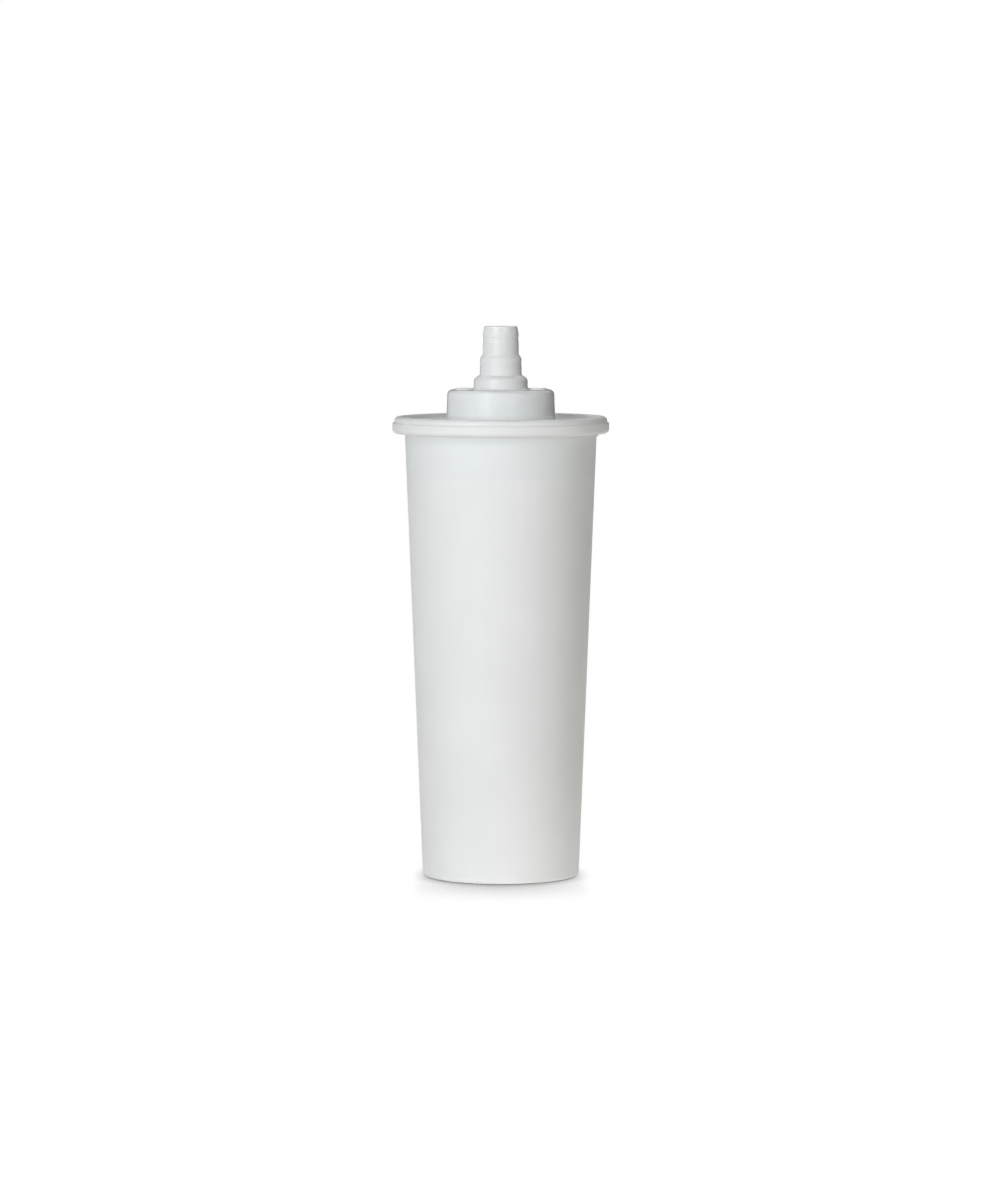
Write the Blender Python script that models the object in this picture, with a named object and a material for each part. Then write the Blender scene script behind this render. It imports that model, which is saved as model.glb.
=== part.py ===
"""Water filter cartridge with a stepped hose nozzle, standing on its foot ring.

Water enters under the notched foot and through the vent holes of the boss, runs through the slots in the
lid, the upper screen and the granules to the strainer on the floor, and leaves up the riser tube and the
nozzle. Lengths are in metres, +Z is up, and the origin is the middle of the foot ring's plane.
"""

import math

import bmesh
import bpy
from mathutils import Matrix

MM = 0.001

# Shared sizes
SEAT_GAP = 0.3 * MM  # between pieces that touch
CUT_MARGIN = 1.0 * MM  # how far a cutter runs past what it cuts
LARGE_SEGMENTS = 56  # round the cup, the lid and what lies in them
CONNECTOR_SEGMENTS = 40
SMALL_SEGMENTS = 24

# Cup
CUP_BASE_RADIUS = 21.7 * MM  # of the tapered wall, at the foot's plane
CUP_DRAFT = math.radians(2.25)
CUP_BODY_HEIGHT = 122.6 * MM  # up to the flange's underside
CUP_WALL = 1.5 * MM
CUP_FLOOR = 1.8 * MM
CUP_BASE_CORNER = 1.3 * MM
CUP_INNER_CORNER = 1.0 * MM
FOOT_RING_WIDTH = 2.6 * MM
FOOT_RING_HEIGHT = 1.0 * MM
FLANGE_OVERHANG = 3.483 * MM  # past the wall
FLANGE_THICKNESS = 2.9 * MM
FLANGE_LOWER_CORNER = 1.3 * MM
FLANGE_UPPER_CORNER = 0.3 * MM
FLANGE_ROOT_FILLET = 0.3 * MM
MOUTH_CHAMFER = 0.5 * MM
RIB_HEIGHT = 0.75 * MM  # the short rib under the flange, on the +X side
RIB_DEPTH = 0.5 * MM
RIB_ANGLE = math.radians(90)

# Lid
LID_SETBACK = 0.55 * MM  # of its edge from the flange's edge
LID_EDGE_PLATE = 0.7 * MM  # where it lies on the flange, inside the rim
LID_PLATE = 1.6 * MM  # over the cup's mouth
LID_RECESS_DEPTH = 0.8 * MM  # below the rim's crest
LID_RIM_OUTER_CORNER = 1.2 * MM
LID_RIM_FLAT = 0.5 * MM
LID_RIM_INNER_CORNER = 0.5 * MM
SKIRT_DEPTH = 14.5 * MM
SKIRT_WALL = 1.2 * MM
COLLAR_WALL = 1.3 * MM
INLET_SLOTS = 12
INLET_SLOT_WIDTH = 1.8 * MM
INLET_SLOT_MARGIN = 0.8 * MM  # from a slot's ends to the collar and to under the boss's wall

# Connector: bore and spigot
BORE_RADIUS = 3.2 * MM
SPIGOT_WALL = 1.3 * MM  # round its socket
SOCKET_DEPTH = 7.0 * MM  # of each socket that holds an end of the riser tube
SEAL_SECTION = 1.0 * MM
SEAL_SETBACK = 1.6 * MM  # from the socket's end to the seal's groove

# Connector: boss
BOSS_RADIUS = 15.0 * MM
BOSS_DRAFT = math.radians(1.7)
BOSS_HEIGHT = 8.2 * MM
BOSS_WALL = 1.6 * MM
BOSS_CORNER = 1.35 * MM
BOSS_FOOT_STEP = 0.15 * MM
BOSS_FOOT_HEIGHT = 0.9 * MM
NOTCHES = 12
NOTCH_WIDTH = 2.2 * MM
NOTCH_HEIGHT = 0.5 * MM
NOTCH_TURN = math.radians(18)  # of the first notch, from -Y towards +X
VENT_RADIUS = 1.9 * MM
VENT_SETBACK = 3.2 * MM  # of a vent's middle from the chamber's wall

# Connector: nozzle, from the boss up
ROOT_FILLET = 0.8 * MM
LOWER_TIER_STEP = 1.67 * MM  # wider than the middle tier, each at its root
LOWER_TIER_HEIGHT = 2.3 * MM  # up to where its shoulder starts
LOWER_SHOULDER_CORNER = 1.35 * MM
LOWER_SHOULDER_SLOPE = math.radians(62)  # of the slope between the round edge and the fillet, from upright
MIDDLE_TIER_STEP = 0.81 * MM  # wider than the upper tier, each at its root
MIDDLE_TIER_HEIGHT = 4.1 * MM  # up to where its shoulder starts
MIDDLE_SHOULDER_CORNER = 0.75 * MM
MIDDLE_SHOULDER_SLOPE = math.radians(35)
UPPER_TIER_RADIUS = 4.97 * MM
UPPER_TIER_HEIGHT = 7.64 * MM  # up to the tip
TIER_DRAFT = math.radians(0.7)
SHOULDER_FILLET = 0.5 * MM
NOSE_WIDTH = 0.8 * MM
NOSE_LENGTH = 1.6 * MM
GRIP_GROOVE_WIDTH = 0.5 * MM
GRIP_GROOVE_DEPTH = 0.12 * MM
MIDDLE_GROOVE_DROP = 1.0 * MM  # below the middle tier's shoulder
UPPER_GROOVE_DROP = 1.6 * MM  # below the nose

# Inside
RISER_WALL = 0.8 * MM
SCREEN_THICKNESS = 1.5 * MM
FLEECE_THICKNESS = 2.5 * MM
STRAINER_PLATE = 1.5 * MM
STRAINER_STANDOFF = 2.0 * MM
STRAINER_FOOT_WIDTH = 1.6 * MM
HUB_WALL = 1.5 * MM
DISC_SLOTS = 16
DISC_SLOT_WIDTH = 1.4 * MM
DISC_SLOT_MARGIN = 1.8 * MM  # from a slot's ends to the disc's edges

# Heights that follow from the sizes above
FLOOR_TOP = FOOT_RING_HEIGHT + CUP_FLOOR
FLANGE_TOP = CUP_BODY_HEIGHT + FLANGE_THICKNESS
LID_UNDERSIDE = FLANGE_TOP + SEAT_GAP
LID_FLOOR = LID_UNDERSIDE + LID_EDGE_PLATE
LID_CREST = LID_FLOOR + LID_RECESS_DEPTH
PLATE_UNDERSIDE = LID_FLOOR - LID_PLATE
SKIRT_BOTTOM = LID_UNDERSIDE - SKIRT_DEPTH
SOCKET_TOP = SKIRT_BOTTOM + SOCKET_DEPTH
SEAL_HEIGHT = SOCKET_TOP + SEAL_SETBACK + SEAL_SECTION / 2
BOSS_BOTTOM = LID_FLOOR + SEAT_GAP
BOSS_TOP = BOSS_BOTTOM + BOSS_HEIGHT
BOSS_CEILING = BOSS_TOP - BOSS_WALL
SCREEN_TOP = SKIRT_BOTTOM - SEAT_GAP
SCREEN_BOTTOM = SCREEN_TOP - SCREEN_THICKNESS
UPPER_FLEECE_TOP = SCREEN_BOTTOM - SEAT_GAP
UPPER_FLEECE_BOTTOM = UPPER_FLEECE_TOP - FLEECE_THICKNESS
STRAINER_BOTTOM = FLOOR_TOP + SEAT_GAP
STRAINER_UNDERSIDE = STRAINER_BOTTOM + STRAINER_STANDOFF
STRAINER_TOP = STRAINER_UNDERSIDE + STRAINER_PLATE
HUB_TOP = STRAINER_TOP + SOCKET_DEPTH
LOWER_FLEECE_BOTTOM = STRAINER_TOP + SEAT_GAP
LOWER_FLEECE_TOP = LOWER_FLEECE_BOTTOM + FLEECE_THICKNESS

# Radii that follow from the sizes above
FLANGE_RADIUS = CUP_BASE_RADIUS + CUP_BODY_HEIGHT * math.tan(CUP_DRAFT) + FLANGE_OVERHANG
LID_RADIUS = FLANGE_RADIUS - LID_SETBACK
RISER_RADIUS = BORE_RADIUS + RISER_WALL
SOCKET_RADIUS = RISER_RADIUS + SEAT_GAP
HUB_RADIUS = SOCKET_RADIUS + HUB_WALL
SPIGOT_RADIUS = SOCKET_RADIUS + SPIGOT_WALL
COLLAR_BORE = SPIGOT_RADIUS + SEAT_GAP
COLLAR_RADIUS = COLLAR_BORE + COLLAR_WALL
SEAL_GROOVE_RADIUS = COLLAR_BORE - SEAL_SECTION - 2 * SEAT_GAP
CHAMBER_RADIUS = BOSS_RADIUS - BOSS_WALL
MIDDLE_TIER_RADIUS = UPPER_TIER_RADIUS + MIDDLE_TIER_STEP
LOWER_TIER_RADIUS = MIDDLE_TIER_RADIUS + LOWER_TIER_STEP

NATURAL_WHITE = (0.86, 0.87, 0.86, 1.0)
COOL_WHITE = (0.84, 0.87, 0.87, 1.0)
FELT_WHITE = (0.80, 0.79, 0.76, 1.0)
GRANULE_AMBER = (0.42, 0.33, 0.20, 1.0)
SEAL_BLACK = (0.03, 0.03, 0.03, 1.0)


def cup_outer_radius(height):
    """Radius of the tapered wall's outside at a height."""
    return CUP_BASE_RADIUS + height * math.tan(CUP_DRAFT)


def cup_inner_radius(height):
    """Radius of the tapered wall's inside at a height."""
    return cup_outer_radius(height) - CUP_WALL / math.cos(CUP_DRAFT)


def fitted_radius(height):
    """Radius at a height of what lies against the inside of the wall."""
    return cup_inner_radius(height) - SEAT_GAP


def arc(centre, radius, start, end, steps, rise=None):
    """Points of an arc in the section plane, with angles in degrees from +R towards +Z.

    A rise other than the radius makes it a quarter of an ellipse.
    """
    rise = radius if rise is None else rise
    points = []
    for step in range(steps + 1):
        angle = math.radians(start + (end - start) * step / steps)
        points.append((centre[0] + radius * math.cos(angle), centre[1] + rise * math.sin(angle)))
    return points


def plastic(name, colour, roughness):
    """A plain material of a piece's own colour."""
    material = bpy.data.materials.new(name)
    material.use_nodes = True
    shader = material.node_tree.nodes["Principled BSDF"]
    shader.inputs["Base Color"].default_value = colour
    shader.inputs["Roughness"].default_value = roughness
    shader.inputs["Metallic"].default_value = 0.0
    material.diffuse_color = colour
    return material


def add_object(name, mesh_in_edit, material=None):
    """Make an object of an edited mesh, with round surfaces shaded smooth."""
    mesh = bpy.data.meshes.new(name)
    mesh_in_edit.to_mesh(mesh)
    mesh_in_edit.free()
    mesh.shade_smooth()
    mesh.set_sharp_from_angle(angle=math.radians(35))
    piece = bpy.data.objects.new(name, mesh)
    bpy.context.scene.collection.objects.link(piece)
    if material:
        mesh.materials.append(material)
    return piece


def turned(outline, segments, sweep=math.tau):
    """Spin a closed outline of (radius, height) points round Z into a closed body."""
    body = bmesh.new()
    corners = [body.verts.new((radius, 0.0, height)) for radius, height in outline]
    on_axis = outline[0][0] == 0.0 and outline[-1][0] == 0.0
    followers = corners[1:] if on_axis else corners[1:] + corners[:1]
    edges = [body.edges.new(pair) for pair in zip(corners, followers)]
    whole_turn = sweep == math.tau
    profile = edges if whole_turn else [body.faces.new(corners)]
    bmesh.ops.spin(
        body,
        geom=corners + edges if whole_turn else profile,
        cent=(0, 0, 0),
        axis=(0, 0, 1),
        angle=sweep,
        steps=segments,
        use_merge=whole_turn,
    )
    bmesh.ops.remove_doubles(body, verts=body.verts, dist=MM / 1000)
    bmesh.ops.recalc_face_normals(body, faces=body.faces)
    return body


def radial_blocks(count, first_angle, near, far, width, bottom, top):
    """Blocks that point outwards from the Z axis, evenly spaced, as one mesh."""
    blocks = bmesh.new()
    for index in range(count):
        turn = Matrix.Rotation(first_angle + math.tau * index / count, 4, "Z")
        place = Matrix.Translation(((near + far) / 2, 0.0, (bottom + top) / 2))
        size = Matrix.Diagonal((far - near, width, top - bottom, 1.0))
        bmesh.ops.create_cube(blocks, size=1.0, matrix=turn @ place @ size)
    return blocks


def shape(piece, other_mesh, label, operation="DIFFERENCE"):
    """Cut a mesh out of a piece, or join one to it, with a modifier that stays on it."""
    other = add_object(label, other_mesh)
    other.hide_render = True
    other.display_type = "WIRE"
    modifier = piece.modifiers.new(label, "BOOLEAN")
    modifier.operation = operation
    modifier.object = other


def cup_outline():
    """Section of the cup, from the middle of its underside out, up, over the flange and down inside."""
    foot_outer = cup_outer_radius(CUP_BASE_CORNER) - CUP_BASE_CORNER / math.cos(CUP_DRAFT)
    foot_inner = foot_outer - FOOT_RING_WIDTH
    wall_top = cup_outer_radius(CUP_BODY_HEIGHT)
    points = [(0.0, FOOT_RING_HEIGHT), (foot_inner - FOOT_RING_HEIGHT / 2, FOOT_RING_HEIGHT), (foot_inner, 0.0)]
    points += arc((foot_outer, CUP_BASE_CORNER), CUP_BASE_CORNER, -90, -math.degrees(CUP_DRAFT), 4)
    root = CUP_BODY_HEIGHT - FLANGE_ROOT_FILLET
    points += [(cup_outer_radius(root), root), (wall_top + FLANGE_ROOT_FILLET, CUP_BODY_HEIGHT)]
    lower_centre = (FLANGE_RADIUS - FLANGE_LOWER_CORNER, CUP_BODY_HEIGHT + FLANGE_LOWER_CORNER)
    points += arc(lower_centre, FLANGE_LOWER_CORNER, -90, 0, 4)
    upper_centre = (FLANGE_RADIUS - FLANGE_UPPER_CORNER, FLANGE_TOP - FLANGE_UPPER_CORNER)
    points += arc(upper_centre, FLANGE_UPPER_CORNER, 0, 90, 2)
    mouth = FLANGE_TOP - MOUTH_CHAMFER
    points += [(cup_inner_radius(mouth) + MOUTH_CHAMFER, FLANGE_TOP), (cup_inner_radius(mouth), mouth)]
    inner_height = FLOOR_TOP + CUP_INNER_CORNER
    inner_middle = cup_inner_radius(inner_height) - CUP_INNER_CORNER / math.cos(CUP_DRAFT)
    points += arc((inner_middle, inner_height), CUP_INNER_CORNER, -math.degrees(CUP_DRAFT), -90, 3)
    return points + [(0.0, FLOOR_TOP)]


def flange_rib():
    """The short rib under the flange, which runs into the wall and the flange."""
    wall = cup_outer_radius(CUP_BODY_HEIGHT)
    bottom = CUP_BODY_HEIGHT - RIB_HEIGHT
    top = CUP_BODY_HEIGHT + FLANGE_THICKNESS / 2
    inside = wall - CUP_WALL / 2
    outside = wall + RIB_DEPTH
    section = [(inside, bottom), (outside, bottom), (outside, top), (inside, top)]
    rib = turned(section, round(LARGE_SEGMENTS * RIB_ANGLE / math.tau), RIB_ANGLE)
    bmesh.ops.rotate(rib, verts=rib.verts, matrix=Matrix.Rotation(-RIB_ANGLE / 2, 3, "Z"))
    return rib


def build_cup():
    """The tapered cup, with the short rib under its flange."""
    cup = add_object("cup", turned(cup_outline(), LARGE_SEGMENTS), plastic("cup_plastic", NATURAL_WHITE, 0.42))
    shape(cup, flange_rib(), "flange_rib", "UNION")


def lid_outline():
    """Section of the lid, from the collar's lower inner edge outwards and back over the top."""
    skirt_top = fitted_radius(PLATE_UNDERSIDE)
    skirt_foot = fitted_radius(SKIRT_BOTTOM)
    points = [(COLLAR_BORE, SKIRT_BOTTOM), (COLLAR_RADIUS, SKIRT_BOTTOM), (COLLAR_RADIUS, PLATE_UNDERSIDE)]
    points += [(skirt_top - SKIRT_WALL, PLATE_UNDERSIDE), (skirt_foot - SKIRT_WALL, SKIRT_BOTTOM)]
    points += [(skirt_foot, SKIRT_BOTTOM), (fitted_radius(LID_UNDERSIDE), LID_UNDERSIDE)]
    points += [(LID_RADIUS, LID_UNDERSIDE)]
    outer_centre = (LID_RADIUS - LID_RIM_OUTER_CORNER, LID_CREST - LID_RIM_OUTER_CORNER)
    points += arc(outer_centre, LID_RIM_OUTER_CORNER, 0, 90, 4)
    inner_centre = (outer_centre[0] - LID_RIM_FLAT, LID_CREST - LID_RIM_INNER_CORNER)
    points += arc(inner_centre, LID_RIM_INNER_CORNER, 90, 180, 2)
    return points + [(points[-1][0], LID_FLOOR), (COLLAR_BORE, LID_FLOOR)]


def build_lid():
    """The lid, with its inlet slots under the boss."""
    lid = add_object("lid", turned(lid_outline(), LARGE_SEGMENTS), plastic("lid_plastic", NATURAL_WHITE, 0.35))
    slots = radial_blocks(
        INLET_SLOTS,
        NOTCH_TURN - math.pi / 2,
        COLLAR_RADIUS + INLET_SLOT_MARGIN,
        CHAMBER_RADIUS - INLET_SLOT_MARGIN,
        INLET_SLOT_WIDTH,
        PLATE_UNDERSIDE - CUT_MARGIN,
        LID_FLOOR + CUT_MARGIN,
    )
    shape(lid, slots, "inlet_slots")


def tier_radius(root_radius, rise):
    """Radius of a drafted tier at a height above its root."""
    return root_radius - rise * math.tan(TIER_DRAFT)


def grip_groove(root_radius, root, middle):
    """A fine groove round the tier that starts at a root height, from its lower edge up."""
    half = GRIP_GROOVE_WIDTH / 2
    return [
        (tier_radius(root_radius, middle - half - root), middle - half),
        (tier_radius(root_radius, middle - root) - GRIP_GROOVE_DEPTH, middle),
        (tier_radius(root_radius, middle + half - root), middle + half),
    ]


def shoulder(lower_radius, upper_radius, start, corner, slope):
    """A tier's round upper edge, its slope and the fillet into the tier above, from the bottom up."""
    turn = math.degrees(slope)
    points = arc((lower_radius - corner, start), corner, 0, turn, 3)
    edge_radius, edge_height = points[-1]
    fillet_middle = upper_radius + SHOULDER_FILLET
    run = edge_radius - fillet_middle + SHOULDER_FILLET * math.cos(slope)
    fillet_centre = (fillet_middle, edge_height + run / math.tan(slope) + SHOULDER_FILLET * math.sin(slope))
    return points + arc(fillet_centre, SHOULDER_FILLET, 180 + turn, 180, 2)


def nozzle_outline():
    """The nozzle's outside, from the boss up to the tip."""
    points = arc((LOWER_TIER_RADIUS + ROOT_FILLET, BOSS_TOP + ROOT_FILLET), ROOT_FILLET, 270, 180, 3)
    lower_edge = tier_radius(LOWER_TIER_RADIUS, LOWER_TIER_HEIGHT)
    lower_top = BOSS_TOP + LOWER_TIER_HEIGHT
    points += shoulder(lower_edge, MIDDLE_TIER_RADIUS, lower_top, LOWER_SHOULDER_CORNER, LOWER_SHOULDER_SLOPE)
    middle_root = points[-1][1]
    middle_top = middle_root + MIDDLE_TIER_HEIGHT
    points += grip_groove(MIDDLE_TIER_RADIUS, middle_root, middle_top - MIDDLE_GROOVE_DROP)
    middle_edge = tier_radius(MIDDLE_TIER_RADIUS, MIDDLE_TIER_HEIGHT)
    points += shoulder(middle_edge, UPPER_TIER_RADIUS, middle_top, MIDDLE_SHOULDER_CORNER, MIDDLE_SHOULDER_SLOPE)
    upper_root = points[-1][1]
    nose_start = upper_root + UPPER_TIER_HEIGHT - NOSE_LENGTH
    points += grip_groove(UPPER_TIER_RADIUS, upper_root, nose_start - UPPER_GROOVE_DROP)
    nose_radius = tier_radius(UPPER_TIER_RADIUS, nose_start - upper_root)
    return points + arc((nose_radius - NOSE_WIDTH, nose_start), NOSE_WIDTH, 0, 90, 4, NOSE_LENGTH)


def boss_outline():
    """The boss's outside, from its foot up to the nozzle's root."""
    foot_radius = BOSS_RADIUS + BOSS_FOOT_STEP
    foot_top = BOSS_BOTTOM + BOSS_FOOT_HEIGHT
    top_radius = BOSS_RADIUS - (BOSS_HEIGHT - BOSS_CORNER) * math.tan(BOSS_DRAFT)
    centre = (top_radius - BOSS_CORNER, BOSS_TOP - BOSS_CORNER)
    points = [(foot_radius, BOSS_BOTTOM), (foot_radius, foot_top), (BOSS_RADIUS, foot_top + BOSS_FOOT_STEP)]
    return points + arc(centre, BOSS_CORNER, 0, 90, 4)


def connector_inside():
    """The way back from the tip: down the bore, the socket, the spigot with its seal groove, the chamber."""
    tip = nozzle_outline()[-1][1]
    groove_half = SEAL_SECTION / 2 + SEAT_GAP
    return [
        (BORE_RADIUS, tip),
        (BORE_RADIUS, SOCKET_TOP),
        (SOCKET_RADIUS, SOCKET_TOP),
        (SOCKET_RADIUS, SKIRT_BOTTOM),
        (SPIGOT_RADIUS, SKIRT_BOTTOM),
        (SPIGOT_RADIUS, SEAL_HEIGHT - groove_half),
        (SEAL_GROOVE_RADIUS, SEAL_HEIGHT - groove_half),
        (SEAL_GROOVE_RADIUS, SEAL_HEIGHT + groove_half),
        (SPIGOT_RADIUS, SEAL_HEIGHT + groove_half),
        (SPIGOT_RADIUS, BOSS_CEILING),
        (CHAMBER_RADIUS - BOSS_CORNER / 2, BOSS_CEILING),
        (CHAMBER_RADIUS, BOSS_CEILING - BOSS_CORNER / 2),
        (CHAMBER_RADIUS, BOSS_BOTTOM),
    ]


def build_connector():
    """The boss, nozzle and spigot as one moulding, with foot notches and vent holes."""
    outline = boss_outline() + nozzle_outline() + connector_inside()
    mesh = turned(outline, CONNECTOR_SEGMENTS)
    connector = add_object("connector", mesh, plastic("connector_plastic", COOL_WHITE, 0.28))
    notches = radial_blocks(
        NOTCHES,
        NOTCH_TURN - math.pi / 2,
        CHAMBER_RADIUS - CUT_MARGIN,
        BOSS_RADIUS + BOSS_FOOT_STEP + CUT_MARGIN,
        NOTCH_WIDTH,
        BOSS_BOTTOM - CUT_MARGIN,
        BOSS_BOTTOM + NOTCH_HEIGHT,
    )
    shape(connector, notches, "foot_notches")
    vents = bmesh.new()
    for side in (-1, 1):
        place = Matrix.Translation((side * (CHAMBER_RADIUS - VENT_SETBACK), 0.0, BOSS_TOP - BOSS_WALL / 2))
        bmesh.ops.create_cone(
            vents,
            cap_ends=True,
            segments=SMALL_SEGMENTS,
            radius1=VENT_RADIUS,
            radius2=VENT_RADIUS,
            depth=BOSS_WALL + 2 * CUT_MARGIN,
            matrix=place,
        )
    shape(connector, vents, "vent_holes")


def build_seal():
    """The ring in the spigot's groove."""
    middle = SEAL_GROOVE_RADIUS + SEAT_GAP + SEAL_SECTION / 2
    section = arc((middle, SEAL_HEIGHT), SEAL_SECTION / 2, 0, 360, 8)[:-1]
    mesh = turned(section, CONNECTOR_SEGMENTS)
    add_object("connector_o_ring", mesh, plastic("seal_rubber", SEAL_BLACK, 0.6))


def cut_disc_slots(disc, inner, outer, bottom, top):
    """Cut the radial slots of a screen or strainer between two radii."""
    slots = radial_blocks(
        DISC_SLOTS,
        0.0,
        inner + DISC_SLOT_MARGIN,
        outer - DISC_SLOT_MARGIN,
        DISC_SLOT_WIDTH,
        bottom - CUT_MARGIN,
        top + CUT_MARGIN,
    )
    shape(disc, slots, disc.name + "_slots")


def build_upper_screen():
    """The slotted disc that the skirt holds down."""
    inner = SOCKET_RADIUS
    outer = fitted_radius(SCREEN_BOTTOM)
    section = [(inner, SCREEN_BOTTOM), (outer, SCREEN_BOTTOM)]
    section += [(fitted_radius(SCREEN_TOP), SCREEN_TOP), (inner, SCREEN_TOP)]
    mesh = turned(section, LARGE_SEGMENTS)
    screen = add_object("upper_screen", mesh, plastic("screen_plastic", NATURAL_WHITE, 0.5))
    cut_disc_slots(screen, COLLAR_RADIUS, outer - SKIRT_WALL, SCREEN_BOTTOM, SCREEN_TOP)


def build_lower_strainer():
    """The slotted plate on its ring foot, with the hub that holds the riser tube."""
    bevel_top = STRAINER_BOTTOM + CUP_INNER_CORNER
    rim = fitted_radius(bevel_top)
    foot_outside = rim - CUP_INNER_CORNER
    foot_inside = foot_outside - STRAINER_FOOT_WIDTH
    section = [
        (BORE_RADIUS, STRAINER_UNDERSIDE),
        (foot_inside, STRAINER_UNDERSIDE),
        (foot_inside, STRAINER_BOTTOM),
        (foot_outside, STRAINER_BOTTOM),
        (rim, bevel_top),
        (rim, STRAINER_TOP),
        (HUB_RADIUS, STRAINER_TOP),
        (HUB_RADIUS, HUB_TOP),
        (SOCKET_RADIUS, HUB_TOP),
        (SOCKET_RADIUS, STRAINER_TOP),
        (BORE_RADIUS, STRAINER_TOP),
    ]
    mesh = turned(section, LARGE_SEGMENTS)
    strainer = add_object("lower_strainer", mesh, plastic("strainer_plastic", NATURAL_WHITE, 0.5))
    cut_disc_slots(strainer, HUB_RADIUS, foot_inside, STRAINER_UNDERSIDE, STRAINER_TOP)


def build_fleece(name, inner, bottom, top):
    """A felt ring that fills the cup's section."""
    section = [(inner, bottom), (fitted_radius(bottom), bottom), (fitted_radius(top), top), (inner, top)]
    add_object(name, turned(section, LARGE_SEGMENTS), plastic(name + "_felt", FELT_WHITE, 0.95))


def build_media_bed():
    """The granules between the two felt rings, round the hub and the riser tube."""
    bottom = LOWER_FLEECE_TOP + SEAT_GAP
    top = UPPER_FLEECE_BOTTOM - SEAT_GAP
    hub_hole = HUB_RADIUS + SEAT_GAP
    section = [
        (hub_hole, bottom),
        (fitted_radius(bottom), bottom),
        (fitted_radius(top), top),
        (SOCKET_RADIUS, top),
        (SOCKET_RADIUS, HUB_TOP + SEAT_GAP),
        (hub_hole, HUB_TOP + SEAT_GAP),
    ]
    mesh = turned(section, LARGE_SEGMENTS)
    add_object("media_bed", mesh, plastic("media_granules", GRANULE_AMBER, 0.7))


def build_riser_tube():
    """The tube from the strainer's hub up into the spigot."""
    bottom = STRAINER_TOP + SEAT_GAP
    top = SOCKET_TOP - SEAT_GAP
    section = [(BORE_RADIUS, bottom), (RISER_RADIUS, bottom), (RISER_RADIUS, top), (BORE_RADIUS, top)]
    add_object("riser_tube", turned(section, SMALL_SEGMENTS), plastic("riser_plastic", NATURAL_WHITE, 0.4))


def build_cartridge():
    """Clear the scene and build every piece in its place."""
    for old in list(bpy.data.objects):
        bpy.data.objects.remove(old, do_unlink=True)
    build_cup()
    build_lid()
    build_connector()
    build_seal()
    build_upper_screen()
    build_fleece("upper_fleece", SOCKET_RADIUS, UPPER_FLEECE_BOTTOM, UPPER_FLEECE_TOP)
    build_media_bed()
    build_fleece("lower_fleece", HUB_RADIUS + SEAT_GAP, LOWER_FLEECE_BOTTOM, LOWER_FLEECE_TOP)
    build_lower_strainer()
    build_riser_tube()


build_cartridge()
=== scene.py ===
"""The looks of a water filter cartridge: white moulded plastic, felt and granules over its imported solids.

The cartridge stands upright on its foot ring. Sizes of its pieces are in millimetres, its meshes and the
studio are in metres, +Z is up along the axis, and -Y is the side that the camera looks at.
"""
import logging
import math
from dataclasses import dataclass, replace
from enum import Enum
from typing import Any, Mapping, Optional, Sequence, Union

import bmesh
import bpy
from bmesh.types import BMesh, BMVert
from bpy.types import Material, Node, NodeSocket, NodeTree, Object
from mathutils import Matrix, Vector, noise


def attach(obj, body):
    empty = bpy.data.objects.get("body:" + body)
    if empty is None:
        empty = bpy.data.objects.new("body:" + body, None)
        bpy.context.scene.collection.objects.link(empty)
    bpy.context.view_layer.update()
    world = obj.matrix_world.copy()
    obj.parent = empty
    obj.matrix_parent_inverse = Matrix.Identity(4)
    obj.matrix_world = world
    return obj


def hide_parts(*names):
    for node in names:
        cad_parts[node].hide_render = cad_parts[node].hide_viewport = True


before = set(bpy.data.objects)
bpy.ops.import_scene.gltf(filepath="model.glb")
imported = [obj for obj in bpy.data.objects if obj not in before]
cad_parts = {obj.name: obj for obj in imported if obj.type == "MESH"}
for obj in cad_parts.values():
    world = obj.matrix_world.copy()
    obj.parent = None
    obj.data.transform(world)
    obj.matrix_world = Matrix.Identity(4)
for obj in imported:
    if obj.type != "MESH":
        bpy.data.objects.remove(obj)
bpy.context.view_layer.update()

log = logging.getLogger("water_filter")

MM = 0.001
WELD = 1e-7  # vertices nearer than this are one
SHARP = math.radians(35)  # edges that turn more than this stay crisp
MIDDLE = 0.5  # of a noise
HALVINGS = 6  # the most times that an edge is halved
ROUND = {"offset_type": "OFFSET", "profile": 0.5, "material": -1}  # how corners and edges are rounded
SPARE = 1.0  # how far a cutting tool reaches past what it cuts, in millimetres
Triple = tuple[float, float, float]
Colour = Triple
Span = tuple[float, float]
Inputs = Optional[Mapping[Any, Any]]
Number = Union[float, "Signal"]


class Cut(Enum):
    """How a second mesh changes a piece."""

    TAKE_AWAY = "DIFFERENCE"
    JOIN = "UNION"


class Slot(Enum):
    """The record's material slots."""

    CUP = "cup_plastic"
    LID = "lid_plastic"
    CONNECTOR = "connector_plastic"
    SEAL = "seal_rubber"
    INNER = "inner_plastic"
    FELT = "felt"
    GRANULES = "granules"


# Shader trees


@dataclass(frozen=True)
class Waves:
    """A noise on a piece, how it lies there, and the soft step that it is cut to."""

    scale: float  # waves per millimetre
    detail: float = 2.0
    roughness: float = 0.5
    step: Optional[Span] = None
    stretch: Triple = (1.0, 1.0, 1.0)
    turn: Triple = (0.0, 0.0, 0.0)  # in degrees
    shift: Triple = (0.0, 0.0, 0.0)


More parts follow.
